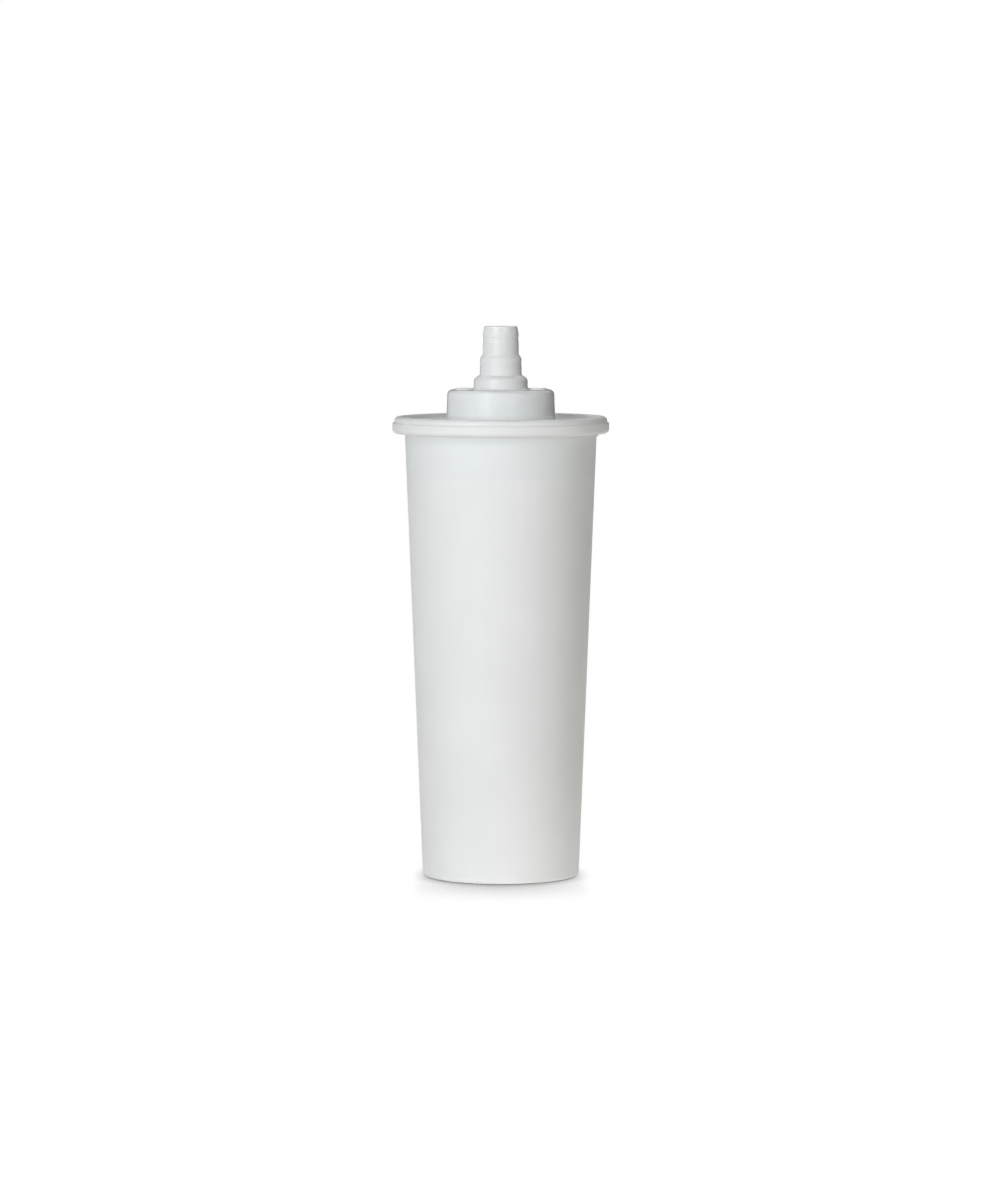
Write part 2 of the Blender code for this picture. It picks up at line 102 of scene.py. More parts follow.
@dataclass(frozen=True, eq=False)
class Signal:
    """One output in a shader tree. Python's signs on it add the Math nodes."""

    recipe: "Recipe"
    socket: NodeSocket

    def __add__(self, other: Number) -> "Signal":
        """This plus other."""
        return self.recipe.maths("ADD", self, other)

    __radd__ = __add__

    def __sub__(self, other: Number) -> "Signal":
        """This minus other."""
        return self.recipe.maths("SUBTRACT", self, other)

    def __rsub__(self, other: Number) -> "Signal":
        """Other minus this."""
        return self.recipe.maths("SUBTRACT", other, self)

    def __mul__(self, other: Number) -> "Signal":
        """This times other."""
        return self.recipe.maths("MULTIPLY", self, other)

    __rmul__ = __mul__

    def __pow__(self, other: Number) -> "Signal":
        """This to a power."""
        return self.recipe.maths("POWER", self, other)

    def __abs__(self) -> "Signal":
        """The size of this, without its sign."""
        return self.recipe.maths("ABSOLUTE", self)

    def rise(self, low: float, high: float) -> "Signal":
        """A soft step.

        Args:
            low: where it leaves 0.
            high: where it reaches 1. Below low, the step falls instead.

        Returns:
            0 to 1, eased at both ends.
        """
        inputs = {0: self, 1: low, 2: high} if low < high else {0: self, 1: high, 2: low, 3: 1.0, 4: 0.0}
        return self.recipe.signal("MapRange", inputs, interpolation_type="SMOOTHSTEP")


@dataclass
class Recipe:
    """The shader tree of a material or world, built node by node."""

    tree: NodeTree
    material: Optional[Material] = None

    def __post_init__(self) -> None:
        """Empty the tree."""
        self.tree.nodes.clear()

    @classmethod
    def of_material(cls, name: str) -> "Recipe":
        """Start a new material.

        Args:
            name: the material's name.

        Returns:
            The recipe of its tree.
        """
        material = bpy.data.materials.new(name)
        material.use_nodes = True
        return cls(material.node_tree, material)

    def node(self, kind: str, inputs: Inputs = None, **settings: Any) -> Node:
        """Add one node.

        Args:
            kind: Blender's name of the node's type, less its first two words.
            inputs: what goes into each socket, by name or place: a value or a signal.
            settings: the node's own settings, set before its sockets.

        Returns:
            The node.
        """
        node = self.tree.nodes.new("ShaderNode" + kind)
        for key, value in settings.items():
            setattr(node, key, value)
        for key, value in (inputs or {}).items():
            socket = node.inputs[key]
            if isinstance(value, Signal):
                self.tree.links.new(value.socket, socket)
            elif isinstance(value, tuple) and socket.type == "RGBA":
                socket.default_value = (*value[:3], 1.0)
            else:
                socket.default_value = value
        return node

    def signal(self, kind: str, inputs: Inputs = None, output: Any = 0, **settings: Any) -> Signal:
        """Add one node and take one of its outputs.

        Args:
            kind: as in node.
            inputs: as in node.
            output: name or place of the output.
            settings: as in node.

        Returns:
            The output as a signal.
        """
        return Signal(self, self.node(kind, inputs, **settings).outputs[output])

    def maths(self, operation: str, *values: Number) -> Signal:
        """A Math node on numbers and signals."""
        return self.signal("Math", dict(enumerate(values)), operation=operation)

    def blend(self, share: Number, first: Any, second: Any, mode: str = "MIX") -> Signal:
        """Mix two colours.

        Args:
            share: how much of the second.
            first: a colour or signal.
            second: a colour or signal.
            mode: Blender's blend type.

        Returns:
            The mixed colour.
        """
        inputs = {0: share, 6: first, 7: second}
        return self.signal("Mix", inputs, 2, data_type="RGBA", blend_type=mode)

    def place(
        self, stretch: Triple = (1, 1, 1), turn: Triple = (0, 0, 0), shift: Triple = (0, 0, 0)
    ) -> Signal:
        """Where a point is on the piece, in millimetres.

        Args:
            stretch: scale of each axis, below 1 for a pattern drawn out along it.
            turn: turn about each axis, in degrees.
            shift: shift of the pattern.

        Returns:
            The point as a vector signal.
        """
        inputs = {
            "Vector": self.signal("TexCoord", output="Object"),
            "Location": shift,
            "Rotation": tuple(math.radians(angle) for angle in turn),
            "Scale": tuple(axis / MM for axis in stretch),
        }
        return self.signal("Mapping", inputs)

    def noise(self, waves: Waves) -> Signal:
        """Lay a noise on the piece.

        Args:
            waves: what it is like.

        Returns:
            0 to 1.
        """
        inputs = {
            "Vector": self.place(waves.stretch, waves.turn, waves.shift),
            "Scale": waves.scale,
            "Detail": waves.detail,
            "Roughness": waves.roughness,
        }
        pattern = self.signal("TexNoise", inputs)
        return pattern.rise(*waves.step) if waves.step else pattern

    def axis(self, where: Signal, letter: str) -> Signal:
        """One axis of a vector."""
        return self.signal("SeparateXYZ", {0: where}, letter)

    def bump(self, height: Signal, depth: float) -> Signal:
        """A normal from a height of 0 to 1, with its full depth in millimetres."""
        return self.signal("Bump", {"Strength": 1.0, "Distance": depth * MM, "Height": height})

    def emission(self, colour: Any, strength: Number = 1.0) -> Signal:
        """A shader that gives off a colour."""
        return self.signal("Emission", {"Color": colour, "Strength": strength})

    def surface(self, shader: Signal) -> None:
        """Send a shader to the material's or world's output."""
        kind = "OutputMaterial" if self.material else "OutputWorld"
        self.node(kind, {"Surface": shader})

    def principled(self, inputs: Mapping[str, Any]) -> Material:
        """End the material in a Principled shader with these inputs."""
        self.surface(self.signal("BsdfPrincipled", inputs))
        return self.material


# Finishes


def toned(colour: Colour, share: float) -> Colour:
    """A colour made lighter or darker, up to full white."""
    return tuple(min(1.0, part * share) for part in colour)


@dataclass(frozen=True)
class Band:
    """A range of heights, in millimetres, where a plastic has another tint, or is made lighter as painted
    light.
    """

    bottom: float
    top: float
    colour: Colour
    fade: float = 0.4


@dataclass(frozen=True)
class MouldedPlastic:
    """White moulded plastic with soft clouds of tone, draw lines, grain, hair scratches and a few specks."""

    name: str
    colour: Colour
    roughness: float
    bands: tuple[Band, ...] = ()
    refraction: float = 1.49
    bump_depth: float = 0.012  # in millimetres, where the marks' heights add up to 1

    clouds: Waves = Waves(0.045, 3.0)
    cloud_step: Span = (0.3, 0.7)
    pale: float = 1.012  # tone of the lightest clouds
    deep: float = 0.972  # tone of the darkest clouds and of the draw lines
    band_step: Span = (0.2, 0.8)  # of the clouds inside a band
    band_deep: float = 0.985
    lines: Waves = Waves(1.1, 4.0, 0.6)
    line_stretch: float = 0.02  # how far the draw lines are drawn out along the axis
    line_step: Span = (0.35, 0.65)
    line_tint: float = 0.35
    line_rough: float = 0.12
    line_depth: float = 0.35
    grain: Waves = Waves(5.0)
    grain_rough: float = 0.06
    grain_depth: float = 0.25
    scuffs: Waves = Waves(0.22, 5.0, 0.65, step=(0.56, 0.74), shift=(31.0, 7.0, 3.0))
    scuff_rough: float = 0.09
    hairs: Waves = Waves(0.8, 1.0, stretch=(1.0, 1.0, 0.06))
    hair_width: float = 0.004  # of a wave
    hair_ways: tuple[tuple[Triple, Triple], ...] = (  # turn and shift
        ((8.0, 5.0, 0.0), (3.0, 0.0, 0.0)),
        ((-24.0, 17.0, 0.0), (0.0, 9.0, 40.0)),
    )
    patches: Waves = Waves(0.11, 1.0, step=(0.56, 0.62))  # where the hairs show
    patch_shift: float = 20.0
    scratch_rough: float = 0.1
    scratch_depth: float = 0.5
    speck: Colour = (0.22, 0.2, 0.17)
    speck_tint: float = 0.55
    speck_cells: float = 0.14  # per millimetre
    speck_edge: Span = (0.024, 0.014)  # of a cell
    speck_share: float = 0.25  # of the cells that hold a speck
    speck_chance: float = 0.001  # how sharply those are told apart

    def material(self) -> Material:
        """Build the plastic.

        Returns:
            The material.
        """
        recipe = Recipe.of_material(self.name)
        clouds = recipe.noise(self.clouds)
        lines = recipe.noise(replace(self.lines, stretch=(1.0, 1.0, self.line_stretch)))
        grain = recipe.noise(self.grain)
        scratches = self.scratches(recipe)
        scuffs = recipe.noise(self.scuffs)

        deep = toned(self.colour, self.deep)
        colour = recipe.blend(clouds.rise(*self.cloud_step), deep, toned(self.colour, self.pale))
        height = recipe.axis(recipe.place(), "Z")
        for band in self.bands:
            inside = height.rise(band.bottom - band.fade, band.bottom + band.fade)
            inside = inside * height.rise(band.top + band.fade, band.top - band.fade)
            band_deep = toned(band.colour, self.band_deep)
            tint = recipe.blend(clouds.rise(*self.band_step), band_deep, band.colour)
            colour = recipe.blend(inside, colour, tint)
        colour = recipe.blend(lines.rise(*self.line_step) * self.line_tint, colour, deep)
        colour = recipe.blend(self.specks(recipe) * self.speck_tint, colour, self.speck)

        rough = self.roughness + (lines - MIDDLE) * self.line_rough + scuffs * self.scuff_rough
        rough = rough + scratches * self.scratch_rough + (grain - MIDDLE) * self.grain_rough
        relief = lines * self.line_depth + grain * self.grain_depth - scratches * self.scratch_depth
        inputs = {
            "Base Color": colour,
            "Roughness": rough,
            "IOR": self.refraction,
            "Normal": recipe.bump(relief, self.bump_depth),
        }
        return recipe.principled(inputs)

    def scratches(self, recipe: Recipe) -> Signal:
        """Hair scratches, a few of them, in two directions.

        Args:
            recipe: the tree.

        Returns:
            1 in a scratch and 0 elsewhere.
        """
        marks = None
        for turn, shift in self.hair_ways:
            lines = recipe.noise(replace(self.hairs, turn=turn, shift=shift))
            patches = recipe.noise(replace(self.patches, shift=(shift[1], self.patch_shift, shift[2])))
            hair = abs(lines - MIDDLE).rise(self.hair_width, 0.0) * patches
            marks = hair if marks is None else marks + hair
        return marks

    def specks(self, recipe: Recipe) -> Signal:
        """Tiny dark specks in the plastic.

        Args:
            recipe: the tree.

        Returns:
            1 in a speck and 0 elsewhere.
        """
        inputs = {"Vector": recipe.place(), "Scale": self.speck_cells}
        cells = recipe.node("TexVoronoi", inputs)
        near = Signal(recipe, cells.outputs["Distance"]).rise(*self.speck_edge)
        chance = recipe.axis(Signal(recipe, cells.outputs["Color"]), "X")
        bare = 1.0 - self.speck_share
        return near * chance.rise(bare, bare + self.speck_chance)


@dataclass(frozen=True)
class SealRubber:
    """Black seal rubber, dull, with a fine dusty bloom."""

    name: str = "seal_rubber"
    colour: Colour = (0.022, 0.022, 0.023)
    bloom: Colour = (0.075, 0.075, 0.073)
    roughness: float = 0.5
    dust: Waves = Waves(0.9, 4.0, step=(0.45, 0.75))
    dust_tint: float = 0.5
    dust_rough: float = 0.22
    grain: Waves = Waves(9.0)
    grain_depth: float = 0.01

    def material(self) -> Material:
        """Build the rubber.

        Returns:
            The material.
        """
        recipe = Recipe.of_material(self.name)
        dust = recipe.noise(self.dust)
        inputs = {
            "Base Color": recipe.blend(dust * self.dust_tint, self.colour, self.bloom),
            "Roughness": self.roughness + dust * self.dust_rough,
            "Normal": recipe.bump(recipe.noise(self.grain), self.grain_depth),
        }
        return recipe.principled(inputs)


@dataclass(frozen=True)
class NeedledFelt:
    """Off-white needled felt: crossing fibres, small pits and a little of the granules' dust."""

    name: str = "needled_felt"
    colour: Colour = (0.72, 0.70, 0.64)
    shade: Colour = (0.5, 0.48, 0.42)
    dirt: Colour = (0.36, 0.31, 0.22)
    roughness: float = 0.88
    depth: float = 0.12
    strands: Waves = Waves(1.2, stretch=(0.25, 3.2, 3.2))
    strand_tilt: float = 20.0
    strand_turns: tuple[float, ...] = (12.0, 57.0, 101.0, 149.0)
    strand_width: float = 0.05
    strand_depth: float = 0.6
    pits: Waves = Waves(0.7, 3.0)
    pit_rough: float = 0.1
    pit_depth: float = 0.4
    dust: Waves = Waves(0.16, 4.0, step=(0.5, 0.75), shift=(0.0, 13.0, 5.0))
    dust_tint: float = 0.3

    def material(self) -> Material:
        """Build the felt.

        Returns:
            The material.
        """
        recipe = Recipe.of_material(self.name)
        fibres = None
        for turn in self.strand_turns:
            strand = recipe.noise(replace(self.strands, turn=(0.0, self.strand_tilt, turn)))
            strand = abs(strand - MIDDLE).rise(self.strand_width, 0.0)
            fibres = strand if fibres is None else recipe.maths("MAXIMUM", fibres, strand)
        pits = recipe.noise(self.pits)
        dust = recipe.noise(self.dust)
        colour = recipe.blend(fibres, self.shade, self.colour)
        inputs = {
            "Base Color": recipe.blend(dust * self.dust_tint, colour, self.dirt),
            "Roughness": self.roughness + pits * self.pit_rough,
            "Normal": recipe.bump(fibres * self.strand_depth + pits * self.pit_depth, self.depth),
        }
        return recipe.principled(inputs)


@dataclass(frozen=True)
class GranuleMix:
    """Amber resin beads mixed with black carbon grains."""

    name: str = "granule_mix"
    amber: Colour = (0.46, 0.27, 0.09)
    honey: Colour = (0.62, 0.45, 0.22)
    carbon: Colour = (0.03, 0.029, 0.028)
    # painted shade in the gaps between the beads
    gap: Colour = (0.02, 0.016, 0.012)
    bead: float = 0.8  # width in millimetres
    bead_rough: float = 0.3
    bead_edge: Span = (0.7, 0.0)  # of the height, in cells from a bead's middle
    bead_depth: float = 0.3
    carbon_step: Span = (0.62, 0.64)  # the cells above this are carbon
    carbon_rough: float = 0.45
    gap_shade_step: Span = (0.45, 0.75)
    gap_shade_tint: float = 0.7

    def material(self) -> Material:
        """Build the mix.

        Returns:
            The material.
        """
        recipe = Recipe.of_material(self.name)
        cells = recipe.node("TexVoronoi", {"Vector": recipe.place(), "Scale": 1.0 / self.bead})
        near = Signal(recipe, cells.outputs["Distance"])
        lot = Signal(recipe, cells.outputs["Color"])
        bead = recipe.blend(recipe.axis(lot, "Y"), self.amber, self.honey)
        carbon = recipe.axis(lot, "X").rise(*self.carbon_step)
        colour = recipe.blend(carbon, bead, self.carbon)
        inputs = {
            "Base Color": recipe.blend(near.rise(*self.gap_shade_step) * self.gap_shade_tint, colour, self.gap),
            "Roughness": self.bead_rough + carbon * self.carbon_rough,
            "Normal": recipe.bump(near.rise(*self.bead_edge), self.bead_depth),
        }
        return recipe.principled(inputs)


# Shapes


@dataclass(frozen=True)
class Corner:
    """A corner of a section, in millimetres: how far out, how high up, and the radius it is rounded to."""

    out: float
    up: float
    radius: float = 0.0
    steps: int = 3


def turned(corners: Sequence[Corner], steps: int, sweep: float = math.tau) -> BMesh:
    """Turn a section round the Z axis into a closed body.

    Args:
        corners: the section's corners in order. It is closed, unless both its ends lie on the axis.
        steps: how many faces go round.
        sweep: how far it turns.

    Returns:
        The body, with its faces pointing outwards.
    """
    body = bmesh.new()
    points = [body.verts.new((corner.out * MM, 0.0, corner.up * MM)) for corner in corners]
    followers = points[1:] if corners[0].out == corners[-1].out == 0.0 else points[1:] + points[:1]
    for pair in zip(points, followers):
        body.edges.new(pair)
    for corner, point in zip(corners, points):
        if corner.radius:
            ways = [edge.other_vert(point).co - point.co for edge in point.link_edges]
            reach = corner.radius * MM / math.tan(ways[0].angle(ways[1]) / 2)
            bmesh.ops.bevel(
                body, geom=[point], offset=reach, segments=corner.steps, affect="VERTICES", **ROUND
            )
    whole = sweep == math.tau
    if not whole:
        bmesh.ops.edgeloop_fill(body, edges=body.edges[:])
    bmesh.ops.spin(
        body,
        geom=body.verts[:] + body.edges[:] if whole else body.faces[:],
        cent=(0.0, 0.0, 0.0),
        axis=(0.0, 0.0, 1.0),
        angle=sweep,
        steps=steps,
        use_merge=whole,
    )
    bmesh.ops.remove_doubles(body, verts=body.verts[:], dist=WELD)
    bmesh.ops.recalc_face_normals(body, faces=body.faces[:])
    return body


def ring_of(shape: BMesh, count: int, first: float) -> BMesh:
    """Repeat a shape round the Z axis.

    Args:
        shape: the shape on the +X side.
        count: how many there are.
        first: the angle of the first, from +X towards +Y.

    Returns:
        All of them in one mesh.
    """
    bmesh.ops.rotate(shape, verts=shape.verts[:], cent=(0, 0, 0), matrix=Matrix.Rotation(first, 3, "Z"))
    original = shape.verts[:] + shape.edges[:] + shape.faces[:]
    for index in range(1, count):
        copy = bmesh.ops.duplicate(shape, geom=original)["geom"]
        turn = Matrix.Rotation(math.tau * index / count, 3, "Z")
        verts = [item for item in copy if isinstance(item, BMVert)]
        bmesh.ops.rotate(shape, verts=verts, cent=(0, 0, 0), matrix=turn)
    return shape


def block(low: Vector, high: Vector, rounding: float = 0.0) -> BMesh:
    """A block between two corners, in millimetres, with its edges along X rounded.

    Args:
        low: the lowest corner.
        high: the highest corner.
        rounding: radius of the rounded edges.

    Returns:
        The block.
    """
    shape = bmesh.new()
    size = Matrix.Diagonal((*(high - low) * MM, 1.0))
    bmesh.ops.create_cube(shape, size=1.0, matrix=Matrix.Translation((low + high) / 2 * MM) @ size)
    if rounding:
        along = [edge for edge in shape.edges if abs((edge.verts[0].co - edge.verts[1].co).x) > WELD]
        bmesh.ops.bevel(shape, geom=along, offset=rounding * MM, segments=3, affect="EDGES", **ROUND)
    return shape


def as_object(name: str, shape: BMesh) -> Object:
    """Make an object of a mesh in edit, and free that.

    Args:
        name: the object's name.
        shape: the mesh in edit.

    Returns:
        The object, in the scene.
    """
    mesh = bpy.data.meshes.new(name)
    shape.to_mesh(mesh)
    shape.free()
    made = bpy.data.objects.new(name, mesh)
    bpy.context.scene.collection.objects.link(made)
    return made


def carved(shape: BMesh, tool: BMesh, cut: Cut) -> BMesh:
    """Cut one mesh out of another, or join them.

    Args:
        shape: the mesh to change. It is freed.
        tool: the other mesh. It is freed.
        cut: what happens with it.

    Returns:
        The new mesh.
    """
    body = as_object("carved_body", shape)
    knife = as_object("carving_tool", tool)
    modifier = body.modifiers.new("carve", "BOOLEAN")
    modifier.solver = "EXACT"
    modifier.operation = cut.value
    modifier.object = knife
    result = bmesh.new()
    result.from_object(body, bpy.context.evaluated_depsgraph_get())
    for spent in (body, knife):
        mesh = spent.data
        bpy.data.objects.remove(spent)
        bpy.data.meshes.remove(mesh)
    bmesh.ops.remove_doubles(result, verts=result.verts[:], dist=WELD)
    return result


def ruffled(shape: BMesh, step: float, grain: float, depth: float) -> BMesh:
    """Break a smooth body up into small faces and press an uneven surface into it, in place.

    Args:
        shape: the body.
        step: the longest edge that stays whole, in millimetres.
        grain: width of the unevenness, in millimetres.
        depth: how far it goes in, in millimetres.

    Returns:
        The same body.
    """
    for _ in range(HALVINGS):
        long = [edge for edge in shape.edges if edge.calc_length() > step * MM]
        if not long:
            break
        bmesh.ops.subdivide_edges(shape, edges=long, cuts=1, use_grid_fill=True)
    shape.normal_update()
    for vert in shape.verts:
        cell = noise.voronoi(vert.co / (grain * MM))[0][0]
        vert.co -= vert.normal * min(cell, 1.0) * depth * MM
    return shape


def finished(name: str, shape: BMesh, material: Material, slot: Slot, *nodes: str) -> Object:
    """Make a piece of a mesh and tie it to the frame.

    Args:
        name: the piece's name.
        shape: its mesh.
        material: its finish.
        slot: the record's slot that its finish belongs to. It is not used.
        nodes: the CAD nodes that it stands for.

    Returns:
        The piece.
    """
    for face in shape.faces:
        face.smooth = True
    for edge in shape.edges:
        edge.smooth = edge.calc_face_angle(math.pi) < SHARP
    piece = as_object(name, shape)
    piece.data.materials.append(material)
    weights = piece.modifiers.new("even_shading", "WEIGHTED_NORMAL")
    weights.keep_sharp = True
    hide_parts(*nodes)
    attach(piece, "root")
    return piece


# Sub-assemblies


@dataclass
class Cup:
    """The tapered cup: foot ring, wall, flange and the short rib under it."""

    steps: int = 128
    base_radius: float = 21.7
    draft: float = math.radians(2.25)
    body_height: float = 122.93
    wall: float = 1.5
    floor_bottom: float = 1.0
    floor_top: float = 2.8
    base_corner: float = 1.1
    foot_width: float = 2.6
    flange_radius: float = 30.0
    flange_top: float = 125.9
    flange_corner: float = 1.3
    rib_height: float = 0.75
    rib_depth: float = 0.5
    rib_angle: float = math.radians(90)
    gate_radius: float = 0.9
    gate_depth: float = 0.3  # of the gate mark, and of the well round it
    gate_draw: float = 0.1
    well: Span = (1.4, 1.9)  # how far from the gate mark its floor and its rim end
    insert_radius: float = 12.5
    insert_half: float = 0.15  # of the fine line round the mould's insert
    insert_depth: float = 0.12
    foot_slope: float = 0.5
    mouth: float = 0.5  # of the slope inside the flange's top

    def outer(self, height: float) -> float:
        """Radius of the wall's outside at a height."""
        return self.base_radius + height * math.tan(self.draft)

    def inner(self, height: float) -> float:
        """Radius of the wall's inside at a height."""
        return self.outer(height) - self.wall / math.cos(self.draft)

    def corners(self) -> list[Corner]:
        """The section.

        Returns:
            Its corners, from the middle of the underside out, up and back inside to the floor.
        """
        under, depth, gate, insert = self.floor_bottom, self.gate_depth, self.gate_radius, self.insert_radius
        foot_outer = self.outer(self.base_corner) - self.base_corner / math.cos(self.draft)
        foot_inner = foot_outer - self.foot_width
        mouth = self.flange_top - self.mouth
        return [
            Corner(0.0, under - depth),
            Corner(gate, under - depth, 0.15),
            Corner(gate + self.gate_draw, under + depth, 0.1),
            Corner(gate + self.well[0], under + depth, 0.2),
            Corner(gate + self.well[1], under, 0.3),
            Corner(insert - self.insert_half, under, 0.05, 2),
            Corner(insert, under + self.insert_depth, 0.05, 2),
            Corner(insert + self.insert_half, under, 0.05, 2),
            Corner(foot_inner - self.foot_slope, under, 0.4),
            Corner(foot_inner, 0.0, 0.3),
            Corner(self.outer(0.0), 0.0, self.base_corner, 6),
            Corner(self.outer(self.body_height), self.body_height, 0.35),
            Corner(self.flange_radius, self.body_height, self.flange_corner, 6),
            Corner(self.flange_radius, self.flange_top, 0.2),
            Corner(self.inner(mouth) + self.mouth, self.flange_top, 0.1, 2),
            Corner(self.inner(mouth), mouth, 0.2, 2),
            Corner(self.inner(self.floor_top), self.floor_top, 1.0, 4),
            Corner(0.0, self.floor_top),
        ]

    def rib(self) -> BMesh:
        """The short rib under the flange.

        Returns:
            Its mesh, which runs into the wall and the flange.
        """
        wall = self.outer(self.body_height)
        bottom = self.body_height - self.rib_height
        top = self.body_height + SPARE
        corners = [
            Corner(wall - self.wall / 2, bottom),
            Corner(wall + self.rib_depth, bottom, 0.2),
            Corner(wall + self.rib_depth, top),
            Corner(wall - self.wall / 2, top),
        ]
        rib = turned(corners, round(self.steps * self.rib_angle / math.tau), self.rib_angle)
        turn = Matrix.Rotation(-self.rib_angle / 2, 3, "Z")
        bmesh.ops.rotate(rib, verts=rib.verts[:], cent=(0, 0, 0), matrix=turn)
        return rib

    def build(self, material: Material) -> Object:
        """Build and dress the cup.

        Args:
            material: its plastic.

        Returns:
            The piece.
        """
        shape = carved(turned(self.corners(), self.steps), self.rib(), Cut.JOIN)
        return finished("cup_shell", shape, material, Slot.CUP, "cup")


@dataclass
class Lid:
    """The lid: collar, skirt, plate with inlet slots, recess and rounded rim."""

    cup: Cup
    steps: int = 128
    gap: float = 0.3  # round the skirt
    lift: float = 0.05  # over the flange, inside the weld
    edge_plate: float = 0.55
    plate: float = 1.6
    recess: float = 1.12
    setback: float = 0.55
    rim_corner: float = 1.2
    rim_flat: float = 0.5
    rim_inner_corner: float = 0.5
    weld_radius: float = 27.5  # the weld reaches in to here from the rim
    seam: float = 0.005
    skirt_depth: float = 14.65
    skirt_wall: float = 1.2
    collar_bore: float = 5.9
    collar_wall: float = 1.3
    slots: int = 12
    slot_width: float = 1.8
    slot_near: float = 8.0
    slot_far: float = 12.6
    first_slot: float = math.radians(18 - 90)

    @property
    def underside(self) -> float:
        """Height of the face that lies on the flange."""
        return self.cup.flange_top + self.lift

    @property
    def floor(self) -> float:
        """Height of the recess's floor."""
        return self.underside + self.edge_plate

    def fitted(self, height: float) -> float:
        """Radius of what lies against the inside of the cup's wall at a height."""
        return self.cup.inner(height) - self.gap

    def corners(self) -> list[Corner]:
        """The section.

        Returns:
            Its corners, from the collar's lower inner edge outwards and back over the top.
        """
        bottom = self.underside - self.skirt_depth
        plate_under = self.floor - self.plate
        collar = self.collar_bore + self.collar_wall
        edge = self.cup.flange_radius - self.setback
        crest = self.floor + self.recess
        rim_inside = edge - self.rim_corner - self.rim_flat - self.rim_inner_corner
        return [
            Corner(self.collar_bore, bottom, 0.3),
            Corner(collar, bottom, 0.2),
            Corner(collar, plate_under, 0.4),
            Corner(self.fitted(plate_under) - self.skirt_wall, plate_under, 0.4),
            Corner(self.fitted(bottom) - self.skirt_wall, bottom, 0.2),
            Corner(self.fitted(bottom), bottom, 0.4),
            Corner(self.fitted(self.underside), self.underside, 0.15),
            Corner(self.weld_radius - self.gap, self.underside),
            Corner(self.weld_radius, self.cup.flange_top + self.seam),
            Corner(edge, self.cup.flange_top + self.seam, 0.06, 2),
            Corner(edge, crest, self.rim_corner, 6),
            Corner(rim_inside, crest, self.rim_inner_corner, 4),
            Corner(rim_inside, self.floor, 0.2),
            Corner(self.collar_bore, self.floor, 0.1),
        ]

    def build(self, material: Material) -> Object:
        """Build and dress the lid.

        Args:
            material: its plastic.

        Returns:
            The piece.
        """
        half = self.slot_width / 2
        low = Vector((self.slot_near, -half, self.floor - self.plate - SPARE))
        high = Vector((self.slot_far, half, self.floor + SPARE))
        slots = ring_of(block(low, high), self.slots, self.first_slot)
        shape = carved(turned(self.corners(), self.steps), slots, Cut.TAKE_AWAY)
        return finished("lid_shell", shape, material, Slot.LID, "lid")


